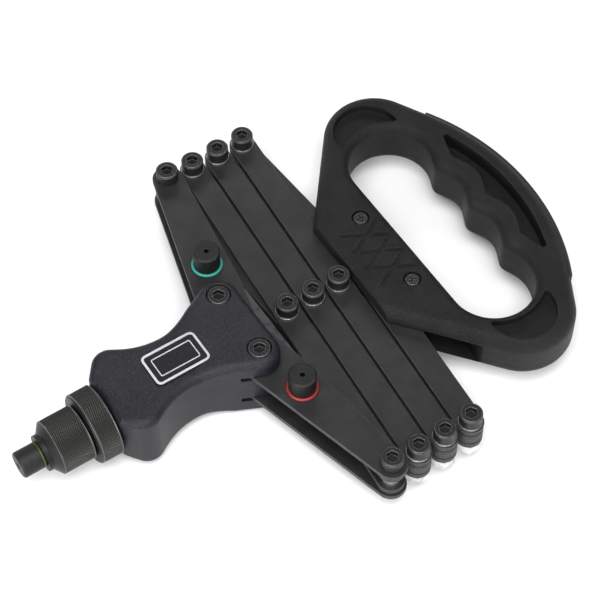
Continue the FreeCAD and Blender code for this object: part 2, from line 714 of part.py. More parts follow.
# thin slots that the lever plates swing in, open at the sides and the back
slot_low, slot_high = lever_low - size["slot_gap"], lever_top + size["slot_gap"]
side_reach, back_reach = pivot_y + size["lever_boss_radius"] + margin, head_back + margin
slot_front, slot_deep = size["slot_front"], size["slot_deep"]
front_half, deep_half = size["slot_front_half"], size["slot_deep_half"]
slot_plan = [(back_reach, -side_reach), (back_reach, side_reach),
             (slot_front, side_reach), (slot_front, front_half),
             (slot_deep, deep_half), (slot_deep, -deep_half),
             (slot_front, -front_half), (slot_front, -side_reach)]
for low, high in ((slot_low, slot_high), (-slot_high, -slot_low)):
    cut_between(head, low, high, lambda sketch: draw_polygon(sketch, slot_plan))

# room for the crosshead, then the bores for barrel, bush and rod
room_half = size["crosshead_half"] + size["crosshead_side_gap"]
cut_between(head, -slot_low, slot_low, lambda sketch: draw_polygon(sketch, rectangle(
    slot_deep, -room_half, back_reach, room_half)))
rod_gap = size["rod_radius"] + size["running_gap"]
rod_hole = rod_gap + size["rod_room"]
bush_end = size["barrel_end"] + size["bush_long"]
bore_front, bore_back = head_front - margin, slot_deep + margin
turn(head, [(bore_front, 0.0), (bore_front, barrel_hole),
            (size["barrel_end"], barrel_hole), (size["barrel_end"], size["bush_radius"]),
            (bush_end, size["bush_radius"]), (bush_end, rod_hole),
            (bore_back, rod_hole), (bore_back, 0.0)], kind="Groove")

# pivot screws: heads flush with the top, nuts sunk in the underside
recess = size["cap_radius"] + size["cap_recess_gap"]
cap_floor = tall - size["cap_height"]
nut_floor = tall - size["nut_height"] - size["nut_sunk"]
drill(head, -tall - margin, tall + margin, [(pivot_x, pivot_y * side, bolt_hole) for side in sides])
drill(head, cap_floor, tall + margin, [(pivot_x, pivot_y * side, recess) for side in sides])
drill(head, -tall - margin, -nut_floor,
      [(pivot_x, pivot_y * side, size["nut_recess_radius"]) for side in sides])

# seat for the badge
badge_x = size["badge_x"]
seat = rounded_rectangle(badge_x, size["badge_long"] + gap * 2, size["badge_wide"] + gap * 2,
                         size["badge_corner"] + gap)
cut_between(head, size["badge_floor"], tall + margin, lambda sketch: draw_outline(sketch, seat))
node(head)

pivot_screw = make_screw("pivot_screw_master", cap_floor + nut_floor + size["nut_height"])
group("lever_pivot_screws",
      [(pivot_screw, placed(pivot_x, pivot_y * side, cap_floor)) for side in sides])
group("lever_pivot_nuts",
      [(nut, placed(pivot_x, pivot_y * side, -(nut_floor + size["nut_height"]))) for side in sides])

bush = new_body("drawbar_bush")
turn(bush, rectangle(size["barrel_end"] + gap, rod_gap, bush_end, size["bush_radius"]))
node(bush)

bridge = new_body("rear_bridge")
bridge_front = size["bridge_back"] - size["bridge_thick"]
bridge_high = slot_low - size["bridge_gap"]
pad_between(bridge, -bridge_high, bridge_high, lambda sketch: draw_polygon(sketch, rectangle(
    bridge_front, -size["bridge_half"], size["bridge_back"], size["bridge_half"])))
for side in sides:
    inner, outer = (room_half + size["bridge_side_gap"]) * side, size["bridge_half"] * side
    low_y, high_y = (inner, outer) if side > 0 else (outer, inner)
    pad_between(bridge, -bridge_high, bridge_high, lambda sketch: draw_polygon(sketch, rectangle(
        head_back, low_y, bridge_front + size["bridge_thick"] / 2, high_y)))
node(bridge)

# ---------------------------------------------------------------- badge

badge_plate = new_body("badge_plate")
plate_low, plate_high = size["badge_floor"], size["badge_floor"] + size["badge_thick"]
pad_between(badge_plate, plate_low, plate_high, lambda sketch: draw_outline(
    sketch, rounded_rectangle(badge_x, size["badge_long"], size["badge_wide"],
                              size["badge_corner"])))
node(badge_plate)


def badge_border(label, inset, width, corner):
    """A raised rounded-rectangle border on the badge plate."""
    body = new_body(label)
    long, wide = size["badge_long"] - inset * 2, size["badge_wide"] - inset * 2

    def draw(sketch):
        draw_outline(sketch, rounded_rectangle(badge_x, long, wide, corner))
        draw_outline(sketch, rounded_rectangle(badge_x, long - width * 2, wide - width * 2,
                                               corner - width))
    pad_between(body, plate_high, plate_high + size["badge_relief"], draw)
    return body


border = badge_border("badge_border_master", gap, size["badge_frame"], size["badge_corner"] - gap)
line = badge_border("badge_line_master", size["badge_line_inset"], size["badge_line"],
                    size["badge_line"] * 2)
group("badge_frame", [(border, placed()), (line, placed())])

# ---------------------------------------------------------------- handle

arc_x = size["handle_back"] - size["palm_radius"]
lobe = size["lobe_radius"]
lobe_reach = size["palm_radius"] - lobe + size["lobe_ease"]
lobe_x = arc_x + lobe_reach * cosine(size["lobe_angle"])
lobe_y = lobe_reach * sine(size["lobe_angle"])
front, flank = size["handle_front"], size["handle_front_half"]
handle_plan = [(front, -flank, 0), (lobe_x, -lobe_y, lobe),
               (arc_x, 0.0, size["palm_radius"]), (lobe_x, lobe_y, lobe), (front, flank, 0)]

end_x, end_y, end_round = size["grip_end_x"], size["grip_end_y"], size["grip_end_radius"]
finger, knuckle = size["finger_radius"], -size["knuckle_radius"]
pitch = size["finger_pitch"]
grip_plan = [(end_x, -end_y, end_round), (size["knuckle_x"], -pitch, knuckle),
             (size["finger_x"], -pitch / 2, finger), (size["knuckle_x"], 0.0, knuckle),
             (size["finger_x"], pitch / 2, finger), (size["knuckle_x"], pitch, knuckle),
             (end_x, end_y, end_round)]

cusp, scallop = size["slit_cusp_radius"], -size["slit_scallop_radius"]
cusp_x, scallop_x = size["slit_cusp_x"], size["slit_scallop_x"]
slit_end = size["slit_end_radius"]
slit_out = size["slit_outer_radius"]
slit_reach = slit_out - slit_end + size["outline_ease"]
slit_end_x = arc_x + slit_reach * cosine(size["slit_angle"])
slit_end_y = slit_reach * sine(size["slit_angle"])
slit_plan = [(slit_end_x, -slit_end_y, slit_end), (arc_x, 0.0, slit_out),
             (slit_end_x, slit_end_y, slit_end),
             (cusp_x, pitch, cusp), (scallop_x, pitch / 2, scallop), (cusp_x, 0.0, cusp),
             (scallop_x, -pitch / 2, scallop), (cusp_x, -pitch, cusp)]


def crescent(side):
    """A shallow crescent pocket round one end of the finger opening."""
    tip, ease = size["crescent_tip"], size["outline_ease"]
    middle = (size["crescent_x"] + end_x) / 2
    inner, outer = size["crescent_inner"], size["crescent_radius"]
    far, near = inner + tip + ease, outer - tip + ease
    rise = size["crescent_y"] - end_y
    along = (far * far - near * near + rise * rise) / (rise * 2)
    across = square_root(far * far - along * along)
    tip_y = end_y + along
    rounds = [(middle + across, tip_y, tip), (middle, size["crescent_y"], outer),
              (middle - across, tip_y, tip), (middle, end_y, -inner)]
    if side > 0:
        return rounds
    return [(x, -y, radius) for x, y, radius in reversed(rounds)]


pivot_4 = cross_x(4)
bar_room = size["bar_width"] / 2 + size["bar_slot_gap"]
flank_x, flank_y = size["flank_slot_x"], size["flank_slot_y"]
past_front, beside = front - margin, size["side_cut"]
bay_x, bay_y = pivot_4 + bar_room, flank_y - size["flank_slot_step"]
bar_slot_plan = [(past_front, -beside), (flank_x, -beside), (flank_x, -flank_y),
                 (bay_x, -bay_y), (bay_x, bay_y),
                 (flank_x, flank_y), (flank_x, beside), (past_front, beside)]
strip_in = size["palm_radius"] - size["strip_deep"]
strip_out = size["palm_radius"] + size["strip_proud"]


def groove_family(direction):
    """The slanting grooves that run one way in the base's lattice, each a parallelogram."""
    start, end, slope = size["groove_start"], size["groove_end"], size["groove_slope"]
    drop = (end - start) * slope
    bars = []
    for step in range(GROOVES):
        high = size["groove_first"] - size["groove_step"] * step
        low = high - size["groove_wide"]
        corners = [(start, low), (end, low - drop), (end, high - drop), (start, high)]
        if direction < 0:
            corners = [(x, -y) for x, y in reversed(corners)]
        bars.append(corners)
    return bars


def on_grip(edge):
    """True for edges of the finger opening, which lie inside the handle's outline."""
    middle = edge.CenterOfMass
    return float(end_x - end_round) - NEAR < middle.x < float(size["knuckle_x"]) and \
        abs(middle.y) < float(end_y + end_round)


def handle_half(label, side):
    """One half of the handle, between its parting face on Z = 0 and its outer face."""
    body = new_body(label)
    top = size["handle_top"] if side > 0 else size["handle_bottom"]

    def span(low, high):
        return (low, high) if side > 0 else (-high, -low)

    pad_between(body, *span(0.0, top), lambda sketch: draw_outline(sketch, handle_plan))
    face = top * side
    round_edges(body, size["handle_round"],
                at_height(face, lambda edge: edge.BoundBox.XMax > float(front) + NEAR))
    round_edges(body, size["front_round"],
                at_height(face, lambda edge: edge.BoundBox.XMax < float(front) + NEAR))
    cut_between(body, *span(0.0, top), lambda sketch: draw_outline(sketch, grip_plan))
    round_edges(body, size["grip_round"], at_height(face, on_grip))
    cut_between(body, *span(top - size["slit_depth"], top + margin),
                lambda sketch: draw_outline(sketch, slit_plan))
    for way in sides:
        cut_between(body, *span(top - size["crescent_depth"], top + margin),
                    lambda sketch: draw_outline(sketch, crescent(way)))
    cut_between(body, *span(0.0, cap_seat), lambda sketch: draw_polygon(sketch, bar_slot_plan))
    for way in sides:
        for corners in groove_family(way):
            cut_between(body, *span(top - size["groove_deep"], top + margin),
                        lambda sketch: draw_polygon(sketch, corners))
    screw_y = size["handle_screw_y"]
    drill(body, *span(0.0, top + margin), [(size["handle_screw_x"], screw_y * way,
                                       size["handle_screw_radius"] + gap) for way in sides])
    sunk = size["handle_cap_sunk"] + size["handle_cap_high"]
    if side < 0:
        sunk = size["handle_nut_high"] + size["handle_cap_sunk"]
    drill(body, *span(top - sunk, top + margin),
          [(size["handle_screw_x"], screw_y * way, size["handle_recess"]) for way in sides])
    drill(body, *span(0.0, top - size["pin_cover"]), [(pivot_4, 0.0, bolt_hole)])
    corners = rectangle(strip_in - gap, -size["strip_low"] - gap,
                        strip_out + margin, size["strip_high"] + gap)
    turn(body, corners, axis="V_Axis", kind="Groove",
         angle=size["strip_sweep"] + size["strip_sweep_gap"], shift=arc_x)
    return node(body)


handle_half("handle_upper_half", 1)
handle_half("handle_lower_half", -1)

strip = new_body("palm_strip")
turn(strip, rectangle(strip_in, -size["strip_low"], strip_out, size["strip_high"]), axis="V_Axis",
     angle=size["strip_sweep"], shift=arc_x)
node(strip)

pin = new_body("handle_pivot_pin")
pin_low = -(size["handle_bottom"] - size["pin_cover"] - gap)
pad_between(pin, pin_low, size["handle_top"] - size["pin_cover"] - gap,
            lambda sketch: draw_circle(sketch, pivot_4, 0.0, size["shank_radius"]))
node(pin)
group("handle_pivot_washers", [(washer, placed(pivot_4, 0.0, z)) for z in washer_heights])

handle_screw = new_body("handle_screw_master")
head_low = size["handle_top"] - size["handle_cap_sunk"] - size["handle_cap_high"]
screw_end = -(size["handle_bottom"] - size["handle_cap_sunk"])
cap, thin, high = size["handle_cap_radius"], size["handle_screw_radius"], size["handle_cap_high"]
turn(handle_screw, [(0.0, screw_end), (thin, screw_end), (thin, head_low), (cap, head_low),
                    (cap, head_low + high / 2), (cap - size["handle_cap_dome"], head_low + high),
                    (0.0, head_low + high)], axis="V_Axis")
arm, tip = size["cross_arm"], size["cross_reach"]
cross = [(tip, -arm), (tip, arm), (arm, arm), (arm, tip), (-arm, tip), (-arm, arm),
         (-tip, arm), (-tip, -arm), (-arm, -arm), (-arm, -tip), (arm, -tip), (arm, -arm)]
cut_between(handle_screw, head_low + size["cross_floor"], head_low + high + margin,
            lambda sketch: draw_polygon(sketch, cross))
screw_places = [placed(size["handle_screw_x"], size["handle_screw_y"] * side) for side in sides]
group("handle_screws", [(handle_screw, place) for place in screw_places])
handle_nut = make_nut("handle_nut_master", size["handle_nut_flats"], size["handle_nut_high"],
                      thin + gap)
for place in screw_places:
    place.Base.z = float(screw_end)
group("handle_nuts", [(handle_nut, place) for place in screw_places])

# ---------------------------------------------------------------- checks and export

doc.recompute()
for thing in doc.Objects:
    if "Invalid" in thing.State or "Error" in thing.State:
        raise ValueError(thing.Label + " did not rebuild")
    if hasattr(thing, "BaseFeature") and thing.BaseFeature and "Pocket" in thing.TypeId:
        if thing.Shape.Volume >= thing.BaseFeature.Shape.Volume:
            raise ValueError(thing.Label + " removed nothing")

os.makedirs("parts", exist_ok=True)
for thing in nodes:
    if thing.Shape.isNull() or not thing.Shape.isValid() or not thing.Shape.Solids:
        raise ValueError(thing.Label + " has no sound shape")
    thing.Shape.exportStep("parts/" + thing.Label + ".step")
print("wrote", len(nodes), "nodes")
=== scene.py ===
# %% [markdown]
# # A lazy-tong hand riveter
#
# The tool is a cast head with a nose that holds blind rivets, a folding lattice of flat steel
# bars, and a moulded grip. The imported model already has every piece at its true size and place,
# so this lesson only adds what the eye needs: finishes that behave like the real ones, knurling
# on the two round grips of the nose, light and a camera. All lengths below are in millimetres
# and turned into metres where Blender needs them.

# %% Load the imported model
import json
import math

import bpy
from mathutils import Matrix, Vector


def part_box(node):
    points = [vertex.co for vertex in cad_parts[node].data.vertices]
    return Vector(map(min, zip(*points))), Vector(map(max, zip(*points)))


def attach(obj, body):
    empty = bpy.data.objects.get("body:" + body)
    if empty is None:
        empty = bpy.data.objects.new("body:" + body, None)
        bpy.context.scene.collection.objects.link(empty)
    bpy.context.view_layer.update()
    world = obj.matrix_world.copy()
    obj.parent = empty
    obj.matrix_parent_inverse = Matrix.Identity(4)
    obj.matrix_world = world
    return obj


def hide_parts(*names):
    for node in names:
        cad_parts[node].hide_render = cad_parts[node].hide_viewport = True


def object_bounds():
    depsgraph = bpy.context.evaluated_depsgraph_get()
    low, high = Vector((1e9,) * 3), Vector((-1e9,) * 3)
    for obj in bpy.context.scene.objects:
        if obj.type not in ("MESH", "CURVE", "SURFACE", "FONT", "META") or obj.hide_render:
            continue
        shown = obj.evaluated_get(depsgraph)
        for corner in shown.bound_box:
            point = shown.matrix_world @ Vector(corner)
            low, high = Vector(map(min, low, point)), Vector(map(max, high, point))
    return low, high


MM = 0.001
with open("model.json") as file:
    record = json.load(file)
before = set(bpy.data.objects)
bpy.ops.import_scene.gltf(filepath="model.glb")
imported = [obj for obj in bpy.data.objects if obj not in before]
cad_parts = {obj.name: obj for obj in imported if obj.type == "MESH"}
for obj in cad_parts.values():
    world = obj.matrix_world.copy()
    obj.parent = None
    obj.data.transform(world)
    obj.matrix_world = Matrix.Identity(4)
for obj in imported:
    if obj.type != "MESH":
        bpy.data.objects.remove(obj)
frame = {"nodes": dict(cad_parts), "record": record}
cad_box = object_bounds()
nodes = frame["nodes"]
low, high = cad_box

# %% [markdown]
# ## Camera
#
# A long lens from well above keeps the parallel bars nearly parallel. The camera is placed by
# the direction it looks from, which is easier to think about than three coordinates: an azimuth
# round the tool, an elevation above the bench, and a distance from the point it looks at.

# %% Camera
camera_azimuth, camera_elevation = math.radians(-33.47), math.radians(55.83)
camera_distance, focal_length, sensor_width = 0.8655, 118.42, 36.0
look_at = Vector((139.73, -4.97, 13.0)) * MM


def towards(azimuth, elevation):
    """The unit vector that points from the tool to a place at this azimuth and elevation."""
    flat = math.cos(elevation)
    return Vector((math.sin(azimuth) * flat, -math.cos(azimuth) * flat, math.sin(elevation)))


camera = bpy.data.objects.new("camera", bpy.data.cameras.new("camera"))
bpy.context.scene.collection.objects.link(camera)
direction = towards(camera_azimuth, camera_elevation)
camera.location = look_at + direction * camera_distance
camera.rotation_euler = (-direction).to_track_quat("-Z", "Y").to_euler()
camera.data.sensor_width, camera.data.lens = sensor_width, focal_length
camera.data.clip_start, camera.data.clip_end = 0.01, 20.0
bpy.context.scene.camera = camera
print("camera at", [round(v, 3) for v in camera.location])

# %% [markdown]
# ## Light
#
# Black tools are drawn by what they reflect, not by what they absorb. A broad panel high on the
# camera's side lights the flat tops and the bench, a low one beside it gives the upright faces a
# pale sheen, a small one in front lifts the near faces, and a narrow strip behind the grip draws
# a thin line along the far edges. The world is a dim grey, so that nothing turns fully black.

# %% Softboxes
def softbox(name, azimuth, elevation, distance, size, power):
    lamp = bpy.data.lights.new(name, "AREA")
    lamp.shape, lamp.size, lamp.size_y, lamp.energy = "RECTANGLE", size[0], size[1], power
    box = bpy.data.objects.new(name, lamp)
    bpy.context.scene.collection.objects.link(box)
    way = towards(math.radians(azimuth), math.radians(elevation))
    centre = (low + high) / 2
    box.location = centre + way * distance
    box.rotation_euler = (-way).to_track_quat("-Z", "Y").to_euler()


softbox("overhead_panel", azimuth=-42, elevation=70, distance=1.4, size=(1.1, 1.1), power=30)
softbox("side_panel", azimuth=-56, elevation=14, distance=1.2, size=(1.5, 0.45), power=17)
softbox("front_panel", azimuth=30, elevation=28, distance=1.3, size=(1.2, 0.5), power=6)
softbox("back_strip", azimuth=150, elevation=34, distance=1.3, size=(1.4, 0.22), power=7)

world = bpy.data.worlds.new("soft_grey")
world.use_nodes = True
sky = world.node_tree.nodes["Background"].inputs
sky["Color"].default_value, sky["Strength"].default_value = (0.93, 0.95, 1.0, 1.0), 0.10
bpy.context.scene.world = world
bpy.context.scene.view_settings.view_transform = "Standard"
print("four softboxes and a grey world")

# %% [markdown]
# ## Writing materials as sums
#
# A shader graph is a formula drawn with boxes. The two classes below let the formula be written
# down instead. A `Field` is the output of a node, and adding or multiplying two of them makes
# the Math node for it. A `Finish` owns one material, and its `node` method makes any node at all
# from its type, its settings and what feeds it.

# %% Field and Finish
class Field:
    """A value that changes over a surface, which Python's operators can work on."""

    def __init__(self, finish, socket):
        self.finish, self.socket = finish, socket

    def maths(self, operation, *values):
        return self.finish.node("ShaderNodeMath", {"operation": operation}, values)

    def __add__(self, other):
        return self.maths("ADD", self, other)

    def __sub__(self, other):
        return self.maths("SUBTRACT", self, other)

    def __rsub__(self, other):
        return self.maths("SUBTRACT", other, self)

    def __mul__(self, other):
        return self.maths("MULTIPLY", self, other)

    __radd__ = __add__


class Finish:
    """One material: a principled shader and the nodes that feed it."""

    def __init__(self, name, metallic=0.0, specular=0.5, coat=0.0, coat_roughness=0.1):
        self.material = bpy.data.materials.new(name)
        self.material.use_nodes = True
        self.tree = self.material.node_tree
        self.shader = self.tree.nodes["Principled BSDF"]
        for socket, value in (("Metallic", metallic), ("Specular IOR Level", specular),
                              ("Coat Weight", coat), ("Coat Roughness", coat_roughness)):
            self.shader.inputs[socket].default_value = value
        here = self.node("ShaderNodeTexCoord", output="Object")
        self.place = self.node("ShaderNodeVectorMath", {"operation": "SCALE"},
                               {"Vector": here, "Scale": 1 / MM})

    def node(self, kind, settings=(), feeds=(), output=0):
        made = self.tree.nodes.new(kind)
        for name, value in dict(settings).items():
            setattr(made, name, value)
        pairs = feeds.items() if isinstance(feeds, dict) else enumerate(feeds)
        for socket, value in pairs:
            self.feed(made.inputs[socket], value)
        return Field(self, made.outputs[output])

    def feed(self, socket, value):
        if isinstance(value, Field):
            self.tree.links.new(value.socket, socket)
        elif value is not None:
            socket.default_value = value

    def grain(self, size, detail=2.0, stretch=(1, 1, 1)):
        """Soft noise whose blotches are about one size across, in millimetres."""
        spread = self.node("ShaderNodeVectorMath", {"operation": "MULTIPLY"}, (self.place, stretch))
        return self.node("ShaderNodeTexNoise", feeds={"Vector": spread, "Scale": 1 / size,
                                                      "Detail": detail}, output="Fac")

    def step(self, field, start, end):
        """0 below start, 1 above end, and smooth between."""
        return self.node("ShaderNodeMapRange", {"interpolation_type": "SMOOTHSTEP"},
                         {"Value": field, "From Min": start, "From Max": end})

    def blend(self, amount, first, second):
        """A colour between two colours."""
        rgba = [value if isinstance(value, Field) else (*value, 1.0) for value in (first, second)]
        return self.node("ShaderNodeMix", {"data_type": "RGBA"},
                         {0: amount, 6: rgba[0], 7: rgba[1]}, output=2)

    def rounded(self, radius):
        """Normals that turn over the edges as if each had a small radius, in millimetres."""
        return self.node("ShaderNodeBevel", {"samples": 4}, (radius * MM,))

    def edges(self, radius):
        """How far the rounded normal leans away from the flat one: high only along edges."""
        flat = self.node("ShaderNodeNewGeometry", output="True Normal")
        lean = self.node("ShaderNodeVectorMath", {"operation": "DOT_PRODUCT"},
                         (self.rounded(radius), flat), output="Value")
        return 1 - lean

    def upright(self):
        """1 on faces that stand upright, 0 on faces that look straight up or down."""
        normal = self.node("ShaderNodeTexCoord", output="Normal")
        tilt = self.node("ShaderNodeSeparateXYZ", feeds=(normal,), output="Z")
        return 1 - tilt.maths("ABSOLUTE", tilt)

    def done(self, colour, roughness, height=None, depth=0.0, radius=None):
        """Feed the shader: colour, roughness, and a bump whose full height is depth millimetres."""
        self.feed(self.shader.inputs["Base Color"],
                  colour if isinstance(colour, Field) else (*colour, 1.0))
        self.feed(self.shader.inputs["Roughness"], roughness)
        normal = self.rounded(radius) if radius else None
        if height is not None:
            normal = self.node("ShaderNodeBump", {}, {"Strength": 1.0, "Distance": depth * MM,
                                                      "Height": height, "Normal": normal})
        if normal is not None:
            self.feed(self.shader.inputs["Normal"], normal)
        return self.material


print("material helpers ready")

# %% [markdown]
# ## Powder coat on the casting
#
# The head is an aluminium casting under a satin black powder coat. Powder melts into a film with
# a faint orange-peel texture. Pale specks painted into its colour are painted glints of its
# grains, and its edges are painted paler as a painted sheen.

# %% Powder coat
def powder_coat():
    coat = Finish("powder_coat", specular=0.24)
    cloud, peel, dust = coat.grain(14, 3), coat.grain(0.9, 2), coat.grain(0.3, 1)
    # painted glints: pale specks in the colour stand for glinting grains
    painted_glint = coat.step(dust, 0.56, 0.68)
    base = coat.blend(coat.step(cloud, 0.35, 0.7),
                      (0.0045, 0.0045, 0.0062), (0.0075, 0.0075, 0.0098))
    painted_glints_added = coat.blend(painted_glint * 0.6, base, (0.05, 0.05, 0.072))
    # painted sheen: the edges are painted paler, and made a little smoother
    edge_wear_and_sheen = coat.step(coat.edges(0.5), 0.03, 0.2)
    return coat.done(coat.blend(edge_wear_and_sheen * 0.35, painted_glints_added, (0.04, 0.04, 0.052)),
                     0.34 + dust * 0.2 - edge_wear_and_sheen * 0.06, dust + peel * 0.7, depth=0.16, radius=0.6)


finishes = {"casting_coat": powder_coat()}
print("made", *finishes)

# %% [markdown]
# ## Black oxide on bars and plates
#
# The bars are stamped from strip and blackened. The stamped sides are rougher than the faces
# and painted paler, partly for their sheared steel and partly as a painted sheen. The film has
# pinholes, dark pits and hair scratches along the bar, and the arrises are rubbed to bare grey.

# %% Black oxide
def black_oxide():
    film = Finish("black_oxide", metallic=0.1, specular=0.38)
    cloud, pinhole = film.grain(9, 3), film.grain(0.35, 2)
    scratch = film.step(film.grain(0.5, 2, (4, 0.12, 4)), 0.62, 0.74)
    speck = film.step(film.grain(0.8, 1), 0.71, 0.78)
    side = film.step(film.upright(), 0.4, 0.9)
    sheared = film.step(film.grain(0.4, 2, (2.5, 2.5, 0.3)), 0.4, 0.7)
    face = film.blend(film.step(cloud, 0.3, 0.75), (0.008, 0.008, 0.0085), (0.014, 0.014, 0.0148))
    marked = film.blend(scratch * 0.2 + speck * 0.45, face, (0.06, 0.06, 0.062))
    # upright sides painted paler: sheared grain together with a painted sheen
    sheared_and_sheen_sides = film.blend(side * (sheared * 0.7 + 0.25), marked, (0.045, 0.045, 0.047))
    pit = film.step(film.grain(0.9, 1), 0.3, 0.24)
    edge_wear_and_sheen = film.step(film.edges(0.3) + pinhole * 0.04, 0.06, 0.22)
    return film.done(film.blend(edge_wear_and_sheen * 0.7, film.blend(pit * 0.8, sheared_and_sheen_sides, (0.002, 0.002, 0.002)),
                                (0.17, 0.17, 0.18)),
                     0.42 + pinhole * 0.14 + side * 0.1 - edge_wear_and_sheen * 0.1,
                     pinhole + scratch * -0.4 + sheared * side * 0.8, depth=0.035, radius=0.3)


finishes["bar_steel"] = black_oxide()
print("made", *finishes)

# %% [markdown]
# ## Screws, washers and nuts
#
# The screws are blackened too, but their rims are handled and show bare steel. Washers and nuts
# are zinc plated: bright, slightly cloudy metal with fine turning marks. Spring wire, bronze and
# the oiled bridge behind the casting differ from zinc only in colour and roughness.

# %% Fastener steels
def screw_black():
    steel = Finish("screw_black", metallic=0.4, specular=0.45)
    grime, pore = steel.grain(2.5, 3), steel.grain(0.25, 2)
    edge_wear_and_sheen = steel.step(steel.edges(0.28) + grime * 0.05, 0.055, 0.12)
    base = steel.blend(grime, (0.007, 0.007, 0.0075), (0.016, 0.016, 0.016))
    return steel.done(steel.blend(edge_wear_and_sheen * 0.8, base, (0.34, 0.33, 0.32)),
                      0.36 + pore * 0.2 - edge_wear_and_sheen * 0.08, pore, depth=0.015, radius=0.25)


def bright_metal(name, pale, dark, roughness, mark=0.3, metallic=1.0):
    metal = Finish(name, metallic=metallic)
    cloud, line = metal.grain(3, 3), metal.grain(mark, 2)
    stain = metal.step(cloud, 0.45, 0.75)
    return metal.done(metal.blend(stain, pale, dark), roughness + line * 0.15 + stain * 0.08,
                      line, depth=0.006, radius=0.15)


finishes |= {
    "screw_steel": screw_black(),
    "zinc": bright_metal("zinc_plate", (0.72, 0.73, 0.74), (0.42, 0.42, 0.43), 0.22),
    "bright_steel": bright_metal("oiled_steel", (0.10, 0.10, 0.105), (0.045, 0.045, 0.047), 0.34),
    "spring_steel": bright_metal("spring_wire", (0.4, 0.4, 0.42), (0.22, 0.22, 0.23), 0.3),
    "bush_bronze": bright_metal("sintered_bronze", (0.6, 0.42, 0.22), (0.35, 0.22, 0.1), 0.4),
}
print("made", *finishes)

# %% [markdown]
# ## Phosphate on the nose
#
# The knurled grips and the nosepieces are phosphated: a dark olive-grey film of small crystals,
# quite matt, rubbed paler on every edge, where wear and a painted sheen are mixed.

# %% Phosphate
def phosphate(name, dark, pale, roughness):
    film = Finish(name, metallic=0.45, specular=0.5)
    crystal, cloud = film.grain(0.18, 2), film.grain(4, 3)
    # edges painted paler: wear together with a painted sheen
    edge_wear_and_sheen = film.step(film.edges(0.3) + cloud * 0.1, 0.1, 0.32)
    base = film.blend(film.step(crystal * 0.6 + cloud * 0.5, 0.4, 0.75), dark, pale)
    return film.done(film.blend(edge_wear_and_sheen * 0.6, base, (0.17, 0.165, 0.155)),
                     roughness + crystal * 0.14 - edge_wear_and_sheen * 0.1, crystal, depth=0.02, radius=0.2)


finishes |= {
    "phosphate_steel": phosphate("phosphate", (0.018, 0.0175, 0.0165), (0.042, 0.041, 0.038),
                                 0.34),
    "nosepiece_steel": phosphate("nosepiece_film", (0.004, 0.004, 0.004), (0.012, 0.012, 0.012),
                                 0.46),
}
print("made", *finishes)

# %% [markdown]
# ## Moulded nylon
#
# The grip is glass-filled nylon from a spark-eroded mould: an even, pebbly grain that scatters
# light into a grey sheen, polished a little along its rounded edges, where the colour is painted
# paler as a painted sheen, with a few pale flecks and scuffs.

# %% Nylon and rubber
def nylon():
    plastic = Finish("moulded_nylon", specular=0.22)
    pebble, cloud = plastic.grain(0.5, 2), plastic.grain(18, 3)
    fleck = plastic.step(plastic.grain(0.6, 1), 0.7, 0.77)
    scuff = plastic.step(plastic.grain(1.1, 3, (0.35, 1.6, 1)), 0.66, 0.78)
    # painted sheen on rounded edges in the colour; the lower roughness there is a real polish
    edge_polish_and_sheen = plastic.step(plastic.edges(1.2), 0.02, 0.2)
    base = plastic.blend(plastic.step(cloud, 0.35, 0.7),
                         (0.0052, 0.0052, 0.0056), (0.0085, 0.0085, 0.009))
    return plastic.done(plastic.blend(scuff * 0.1 + edge_polish_and_sheen * 0.12 + fleck * 0.35, base,
                                      (0.07, 0.07, 0.075)),
                        0.44 + pebble * 0.14 - edge_polish_and_sheen * 0.08, plastic.step(pebble, 0.35, 0.65),
                        depth=0.22, radius=0.5)


def moulded_rubber(name, colour):
    rubber = Finish(name, specular=0.4)
    bloom = rubber.grain(1.2, 2)
    pale = [channel * 1.25 + 0.002 for channel in colour]
    return rubber.done(rubber.blend(bloom, colour, pale), 0.38 + bloom * 0.2, bloom, depth=0.01)


finishes |= {
    "handle_nylon": nylon(),
    "upper_ring": moulded_rubber("teal_rubber", (0.02, 0.20, 0.17)),
    "lower_ring": moulded_rubber("red_rubber", (0.17, 0.009, 0.008)),
    "fitted_ring": moulded_rubber("green_rubber", (0.018, 0.034, 0.001)),
    "strip_rubber": moulded_rubber("black_rubber", (0.006, 0.006, 0.0065)),
}
print("made", *finishes)

# %% [markdown]
# ## Badge
#
# A small moulded plate with a raised metallic border and an inner line. It carries no lettering.

# %% Badge finishes
def badge_gloss():
    gloss = Finish("badge_gloss", coat=0.4, coat_roughness=0.08)
    dust = gloss.grain(0.5, 2)
    return gloss.done(gloss.blend(dust * 0.3, (0.006, 0.006, 0.007), (0.02, 0.02, 0.022)),
                      0.22 + dust * 0.15, dust, depth=0.003)


finishes |= {
    "badge_black": badge_gloss(),
    "badge_silver": bright_metal("badge_border", (0.50, 0.50, 0.52), (0.38, 0.38, 0.40), 0.3,
                                 metallic=0.25),
}
print("made", *finishes)

# %% [markdown]
# ## Phosphate on a knurl
#
# A knurl's points are polished by fingers and painted pale as a painted glint, while its grooves
# are painted dark for their dirt and the shade that falls in them. Height tells the two apart,
# and on a turned piece height is the distance from the axis, so no edge search is needed.

